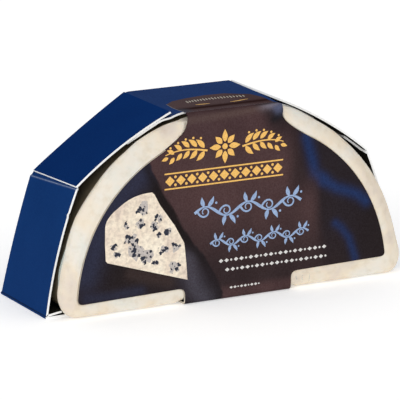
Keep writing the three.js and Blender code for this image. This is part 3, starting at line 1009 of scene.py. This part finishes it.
def make_emblem():
    """A rosette between two leafy sprigs that lie along the band."""
    middle, height = -3.3, 44.9
    rosette = [disc(middle, height, 0.85)]
    for angle in range(0, 360, 45):
        heading = math.radians(angle)
        u, h = middle + 1.3 * math.cos(heading), height + 1.3 * math.sin(heading)
        rosette.append(leaf(u, h, angle, 3.0 if angle % 90 else 3.6, 1.7))
    sprig = [curl(middle - 5.6, height - 0.6, 168, 13.5, 34, 0.55)]
    for i in range(5):
        t = i / 4
        u, h = middle - 6.6 - 9.6 * t, height - 0.2 + 1.1 * math.sin(math.pi * t) - 0.8 * t
        sprig.append(leaf(u, h + 0.45, 122 + 14 * t, 3.8 - 1.2 * t, 1.5 - 0.3 * t, 30))
        sprig.append(leaf(u, h - 0.45, 238 + 4 * t, 3.6 - 1.2 * t, 1.5 - 0.3 * t, -30))
        sprig.append(disc(u - 1.1, h + 3.4 - 1.1 * t, 0.36, 8))
    sprig.append(leaf(middle - 18, height - 1.4, 198, 2.2, 1.1))
    decal("print_emblem", [*rosette, *sprig, *(flipped(shape, middle) for shape in sprig)], gold_ink)


def make_gold_band():
    """A row of lozenges and dots between two fine lines."""
    low, high, left, right = 34.5, 38.9, -22.5, 15.5
    middle, count, margin = (low + high) / 2, 11, 1.7
    gap = (right - left - 2 * margin) / (count - 1)
    shapes = [stroke([(left, level), (right, level)], 0.42) for level in (low, high)]
    for i in range(count):
        u = left + margin + gap * i
        shapes.append(lozenge(u, middle, 1.45, 2.9))
        if i < count - 1:
            shapes += [disc(u + gap / 2, middle + s * 1.15, 0.42, 8) for s in (-1, 1)]
    decal("print_gold_band", shapes, gold_ink)


def vine(left, right, middle, rise, bays, width):
    """A waving stem with a spiral on one side of each bay and two leaves and a berry on the other."""
    t = np.linspace(0, 1, 14 * bays)
    sway, bay = rise * 0.2, (right - left) / bays
    line = np.stack([left + (right - left) * t, middle + sway * np.sin(t * bays * math.pi)], axis=1)
    shapes = [stroke(line, width * (0.8 + 0.3 * np.cos(t * bays * 2 * math.pi)))]
    for i in range(bays):
        up = -1 if i % 2 else 1
        u, h = left + bay * i, middle + up * sway
        root = middle + up * rise * 0.07
        shapes.append(curl(u + bay * 0.12, root, -up * 62, bay * 1.3, up * 400, width * 0.8))
        shapes.append(leaf(u + bay * 0.45, h, up * 122, rise * 0.38, rise * 0.16, -up * 40))
        shapes.append(leaf(u + bay * 0.6, h, up * 36, rise * 0.44, rise * 0.16, up * 44))
        shapes.append(disc(u + bay, middle + up * rise * 0.3, width * 0.45, 10))
    return shapes


def make_scrolls():
    shapes = vine(-13, 21.5, 26.4, 8, 5, 0.8) + vine(-8, 24, 16.9, 5.6, 7, 0.6)
    decal("print_scrolls", shapes, pale_blue_ink)


def make_beading():
    """Rows of small beads and dashes."""
    shapes = []
    rows = ((-5.2, 31.5, 11.5, 1.15), (-3.2, 30.5, 8.7, 1.15), (-1.7, 9, 3.3, 0.8))
    for left, right, level, tall in rows:
        u, i = left, 0
        while u < right - tall:
            if i % 3 == 2:
                shapes.append(disc(u + tall * 0.35, level, tall * 0.3, 8))
                u += tall * 1.1
            else:
                shapes.append(lozenge(u + tall * 0.6, level, tall * 0.6, tall))
                u += tall * 1.55
            i += 1
    decal("print_beading", shapes, white_ink)


def make_picture():
    """A picture of a cut piece of the cheese: pale paste with clusters of mould."""
    outline = [(-15.3, 7.4), (-15.7, 12.6), (-16.3, 18.3), (-19.4, 23.9), (-24, 30.3), (-25.6, 33.4)]
    outline += curve_points((-26.4, 34.2), (-31.8, 34.4), (-36, 31.6), 8)
    outline += curve_points((-38.6, 29.8), (-41, 27.8), (-41.1, 25.8), 5)
    outline += [(-41.2, 21), (-41, 16.1), (-40.5, 15.5)]
    outline = subdivided([*outline, outline[0]], 0.7)[:-1]
    decal("print_picture", [filled(outline, 1.0)], picture_ink)

    clusters = [(-29.6, 29.4, 1.9, 7), (-33.2, 21.6, 2.2, 8), (-31.6, 18.2, 2.2, 8)]
    clusters += [(-28.4, 16, 2.2, 8), (-24.4, 26.9, 1.4, 5), (-25.6, 24.4, 1.3, 4)]
    clusters += [(-21.6, 22.4, 1.2, 3), (-23.2, 17.2, 1.5, 5), (-19.6, 11.4, 1.8, 6)]
    clusters += [(-30.4, 25.6, 1.6, 5), (-38.6, 20, 1.0, 3), (-37.6, 17.6, 0.9, 2)]
    clusters += [(-18.9, 17.6, 1.4, 4), (-34.6, 25.4, 1.0, 3), (-24.6, 21.4, 0.6, 2)]
    clusters += [(-25.4, 13.6, 0.9, 2)]
    flecks, halos = [], []
    for number, (u, h, reach, count) in enumerate(clusters):
        halos.append(blob(u + 0.15, h - 0.1, reach * 0.85, number + 40.5))
        for i in range(count):
            angle = i * 2.4 + number * 1.7
            away = reach * math.sqrt((i + 0.4) / count)
            size = (0.42 + 0.3 * math.sin(i * 1.9 + number * 1.3)) * (1.25 - 0.5 * away / reach)
            place = (u + away * math.cos(angle), h + away * math.sin(angle))
            flecks.append(blob(*place, size, number * 7.3 + i))
    decal("print_mould_halos", halos, halo_ink, 1)
    decal("print_mould", flecks, mould_ink, 2)


def make_top_print():
    """The brown field across the top panel, with gold lines and a row of fine beads."""
    left, right, low = -13.6, 15.1, -1.1
    rim = [(left, low), (left, 0.5), (-14.2, 5.5), (-13.9, 9.7), (-10.7, 12.5), (-5.4, 14.1), (1, 15.2)]
    rim += [(7.4, 14.8), (11.2, 12.2), (13.7, 10.9), (right, 6.2), (right, 0), (right, low)]
    rim = np.array(rim) + (0, H_MOUTH)
    outline = subdivided([*rim, rim[0]], 0.5)[:-1][::-1]
    piece, points = decal("print_top_field", [filled(outline, 0.7)], print_and_painted_light_card)
    painted(piece, top_field_colours(points))
    tip = [stroke(subdivided(rim[1:4], 0.6), 0.2)]
    decal("print_top_rim", tip, rim_ink, 1)

    lines = [[(-6.6, 5.9), (-4.4, 5.6), (-2.2, 5.5)], [(4, 4.7), (7.2, 5.1), (10.3, 5.8)]]
    shapes = [stroke(np.array(line) + (0, H_MOUTH), [0.15, 0.6, 0.15]) for line in lines]
    decal("print_top_lines", shapes, gold_ink, 2)
    beads = []
    for i in range(20):
        u = -7.2 + 0.95 * i
        h = H_MOUTH + 10.6 - 0.012 * (u - 1) ** 2
        tall = 1.9 if i % 3 else 2.6
        line = [(u - 0.2, h - tall / 2), (u, h), (u + 0.2, h + tall / 2)]
        beads.append(stroke(line, [0.15, 0.55, 0.15]))
    decal("print_top_beads", beads, fine_ink, 2)


# The cheese


def cheese_section(y, radius, corners, bottom, spreads, sink, crest):
    """A loop round half of a disc with rounded lower corners. A pair of values is left, right.

    In front of the mouth the loop swells over the edges of the carton.
    """
    low = bottom - WHEEL_CENTRE
    lifts = [low + corner for corner in corners]
    across = [math.sqrt((radius - corner) ** 2 - lift**2) for corner, lift in zip(corners, lifts)]
    left, right = (math.atan2(lift, reach) for lift, reach in zip(lifts, across))
    arcs = [
        ((0, 0), radius, right, math.pi - left),
        ((-across[0], lifts[0]), corners[0], math.pi - left, math.pi * 1.5),
        ((across[1], lifts[1]), corners[1], -math.pi / 2, right),
    ]
    path = []
    for (cx, cz), r, start, end in arcs:
        angles = np.linspace(start, end, max(8, int(abs(end - start) * r / WHEEL_SPACING)))
        path += [(cx + r * math.cos(a), cz + r * math.sin(a)) for a in angles]
    path = np.array([*path, path[0]])
    lengths = np.concatenate([[0], np.cumsum(np.linalg.norm(np.diff(path, axis=0), axis=1))])
    wanted = np.linspace(0, lengths[-1], WHEEL_COLUMNS, endpoint=False)
    x, rise = (np.interp(wanted, lengths, path[:, i]) for i in (0, 1))

    released = 1 - smoothstep(y - Y_MOUTH, *RELEASE_ZONE)
    left_lip, right_lip = (np.interp(rise, *lip) for lip in (LEFT_LIP, RIGHT_LIP))
    lip = released * np.where(x < 0, left_lip * smoothstep(y - Y_FACE, *LEFT_LIP_ZONE), right_lip)
    outward = lip / np.hypot(x, rise)
    x, rise = x + x * outward, rise + rise * outward + WHEEL_CENTRE
    foot = np.clip(1 - rise / FOOT_HEIGHT, 0, 1) ** 2
    x = WHEEL_SHIFT + x + np.where(x < 0, -spreads[0], spreads[1]) * foot
    lowness = np.clip(1 - (rise - bottom) / FRONT_CORNERS[1], 0, 1)
    off_neck = np.maximum(BOTTOM_NECK[0] - x, x - BOTTOM_NECK[1])
    sunk = sink * lowness * smoothstep(off_neck, *DROOP_ZONE)
    crown = HEIGHT - BOARD - LOOSE_GAP - (WHEEL_RADIUS - min(radius, WHEEL_RADIUS))
    crown = crown - CROWN_DROP * released * (x < 0)
    raised = crest * np.interp(x, *CREST) * (rise > KNEE_HEIGHT)
    z = np.minimum(rise, crown) + raised - sunk
    return np.stack([x, np.full(WHEEL_COLUMNS, y), z], axis=1)


def cheese_sections():
    """The values of every section, from the middle of the front face to the back."""
    floor = BOARD + CLEARANCE
    face = Y_FACE + BOARD + FACE_GAP
    back = Y_BACK - BOARD - LOOSE_GAP
    body = {"radius": WHEEL_RADIUS, "corners": BODY_CORNERS, "bottom": floor, "spreads": (0, 0)}
    body = {**body, "sink": 0, "crest": 0}
    proud = {**body, "spreads": FOOT_SPREADS, "sink": DROOP, "crest": 1}
    sections = []
    insets = [28, 22, 17, 13, 10, *np.arange(8.5, 3, -0.2)]
    for inset in [*insets, 3, 2.5, 2, 1.5, 1.1, 0.7, 0.4, 0.2, 0.05, 0]:
        turned = math.acos(1 - min(inset, FACE_EDGE) / FACE_EDGE)
        tightening = inset * FACE_CORNER_TIGHTENING
        section = {
            "y": face + FACE_EDGE_DEPTH * (1 - math.sin(turned)),
            "radius": BULGE_RADIUS - inset,
            "bottom": floor + inset * FACE_FOOT_LIFT,
            "corners": [max(corner - tightening, LEAST_CORNER) for corner in FRONT_CORNERS],
        }
        sections.append({**proud, **section})
    start, end = face + FACE_EDGE_DEPTH, Y_MOUTH - CLEARANCE
    for share in np.linspace(0, 1, 10)[1:]:
        turn = float(smoothstep(share, 0, 1))
        left = 1 - float(smoothstep(share, 0.3, 1))
        section = {
            "y": start + (end - start) * share,
            "radius": BULGE_RADIUS + (WHEEL_RADIUS - BULGE_RADIUS) * turn,
            "spreads": [spread * (1 - turn) for spread in FOOT_SPREADS],
            "corners": [a + (b - a) * share for a, b in zip(FRONT_CORNERS, BODY_CORNERS)],
            "sink": DROOP * left,
            "crest": left,
        }
        sections.append({**body, **section})
    shaded = Y_MOUTH + SHADE_ZONE[1]
    depths = [*np.linspace(end, shaded, 8)[1:], *np.linspace(shaded, back - BACK_EDGE, 16)[1:]]
    sections += [{**body, "y": y} for y in depths]
    for angle in np.linspace(0, math.pi / 2, 10)[1:]:
        inset = BACK_EDGE * (1 - math.cos(angle))
        y = back - BACK_EDGE * (1 - math.sin(angle))
        sections.append({**body, "y": y, "radius": WHEEL_RADIUS - inset, "bottom": floor + inset})
    return sections


def pressed_round_card(points):
    """Depths of the cheese's points, which press forward just outside the edge of the card."""
    depths = np.maximum(points[:, 1], Y_FACE + BOARD + CARD_GAP)
    near = np.flatnonzero(points[:, 1] < Y_MOUTH)
    flat = points[near][:, (0, 2)]
    outline = blank_outline()
    distance = line_distance(flat, [*outline, outline[0]])
    outside = distance * np.where(inside_polygon(flat, outline), -1, 1)
    forward = smoothstep(outside, *PRESS_RISE) * (1 - smoothstep(outside, *PRESS_FALL))
    depths[near] -= (BOARD - PRESS_DEPTH) * forward
    return depths


def make_cheese():
    grid = np.array([cheese_section(**section) for section in cheese_sections()])
    around = np.roll(grid, -1, axis=1) - np.roll(grid, 1, axis=1)
    normals = unit(np.cross(np.gradient(grid, axis=0), around)).reshape(-1, 3)
    points = grid.reshape(-1, 3)
    behind = points[:, 1] - Y_MOUTH
    lumps = 0.2 * np.array([noise.noise(Vector(p) * 0.11) for p in points])
    dimples = 0.04 * np.array([noise.noise(Vector(p) * 0.42 + Vector((7, 3, 1))) for p in points])
    relief = (lumps + dimples) * (1 - 0.65 * smoothstep(behind, *LUMPY_ZONE))
    points = points + normals * relief[:, None]
    points[:, 1] = pressed_round_card(points)
    count = WHEEL_COLUMNS
    last = len(points) - count
    faces = [
        (start + i, start + count + i, start + count + (i + 1) % count, start + (i + 1) % count)
        for start in range(0, last, count)
        for i in range(count)
    ]
    faces += [tuple(range(count)), tuple(last + i for i in reversed(range(count)))]
    piece = mesh_piece("cheese_in_film", points, faces, [rind], smooth_angle=60)
    # Painted shade for the rind behind the mouth of the carton.
    set_attribute(piece, "painted_shade_inside_carton", smoothstep(behind, *SHADE_ZONE))
    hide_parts("cheese")
    return BVHTree.FromPolygons([tuple(p) for p in points], faces)


def make_film_folds(surface):
    """Small pleats that stand up from the tight film, along lines near the surface of the cheese."""
    steps, root = 6, 0.08
    pleats = [
        ([(-53.6, -13.2, 21), (-53.5, -13.4, 17), (-53.2, -13.6, 13), (-52.7, -13.9, 8.5)], 0.55, 0.5),
        ([(20, -16.2, 4.6), (20.3, -16, 0.6)], 0.8, 0.05),
        ([(22.2, -16.2, 4.4), (22.6, -16, 0.5)], 0.8, 0.05),
        ([(24.7, -16.2, 4.3), (24.8, -16, 0.6)], 0.7, 0.05),
        ([(-38, -16, 44), (-42, -15, 39.5), (-46, -14.4, 34)], 0.25, 0.1),
    ]
    for number, (line, width, height) in enumerate(pleats):
        path = []
        for start, end in zip(line, line[1:]):
            path += [Vector(start).lerp(Vector(end), i / steps) for i in range(steps)]
        path.append(Vector(line[-1]))
        vertices, faces = [], []
        for i, point in enumerate(path):
            place, normal, _, _ = surface.find_nearest(point)
            along = (path[min(i + 1, len(path) - 1)] - path[max(i - 1, 0)]).normalized()
            across = normal.cross(along).normalized() * width / 2
            swell = math.sin(math.pi * (i + 0.5) / len(path))
            offsets = (across - normal * root, normal * height * swell, -across - normal * root)
            vertices += [place + offset for offset in offsets]
        end = 3 * len(path) - 3
        for a in range(0, end, 3):
            b = a + 3
            faces += [(a, b, b + 1, a + 1), (a + 1, b + 1, b + 2, a + 2), (a + 2, b + 2, b, a)]
        faces += [(2, 0, 1), (end, end + 2, end + 1)]
        piece = mesh_piece(f"film_fold_{number + 1}", vertices, faces, [clear_film])


# The stage


def make_stage():
    look = {"Roughness": 0.9, "Specular_IOR_Level": 0.1}
    paint = new_material("pale_floor", **look, Emission_Strength=0.28, Emission_Color=WHITE)
    stops = [(0.3, linear(250, 250, 250)), (0.7, linear(253, 253, 253))]
    feed(paint, {"Base Color": ramp_node(paint, noise_node(paint, 0.01, 2), stops)})
    half = 3.0
    mesh = bpy.data.meshes.new("floor")
    corners = [(-half, -half, 0), (half, -half, 0), (half, half, 0), (-half, half, 0)]
    mesh.from_pydata(corners, [], [(0, 1, 2, 3)])
    mesh.materials.append(paint)
    floor = add_object("floor", mesh)

    world = bpy.data.worlds.new("studio")
    bpy.context.scene.world = world
    direction = add_node(world, "TexCoord").outputs["Generated"]
    up = add_node(world, "SeparateXYZ", {"Vector": direction}).outputs["Z"]
    greys = [(0.0, (0.26, 0.26, 0.27, 1)), (0.3, (0.36, 0.36, 0.37, 1)), (0.75, (0.82, 0.82, 0.82, 1))]
    background = nodes_of(world)[0]["Background"]
    connect(world, background, {"Color": ramp_node(world, up, greys), "Strength": 0.9})


def sun_light(name, azimuth, elevation, softness, strength):
    """A soft light from a direction. Azimuth 0 is the front, and a negative one is on the left."""
    data = bpy.data.lights.new(name, "SUN")
    data.angle = math.radians(softness)
    data.energy = strength
    light = add_object(name, data)
    a, e = math.radians(azimuth), math.radians(elevation)
    towards = Vector((math.sin(a) * math.cos(e), -math.cos(a) * math.cos(e), math.sin(e)))
    light.rotation_euler = towards.to_track_quat("Z", "Y").to_euler()


def make_camera():
    data = bpy.data.cameras.new("camera")
    data.lens = 287.7
    data.sensor_width = 36
    data.clip_start = 0.05
    camera = add_object("camera", data)
    camera.location = (-0.41929, -0.78916, 0.25398)
    camera.rotation_euler = Euler((math.radians(75.62), 0, math.radians(-27.87)))
    bpy.context.scene.camera = camera
    bpy.context.scene.view_settings.view_transform = "Standard"


make_camera()
make_stage()
sun_light("key", -46, 15, 50, 1.3)
sun_light("fill", 35, 30, 70, 0.4)
make_sides()
make_shoulders_and_base()
make_back()
make_blank()
make_top_print()
make_emblem()
make_gold_band()
make_scrolls()
make_beading()
make_picture()
cheese_surface = make_cheese()
make_film_folds(cheese_surface)
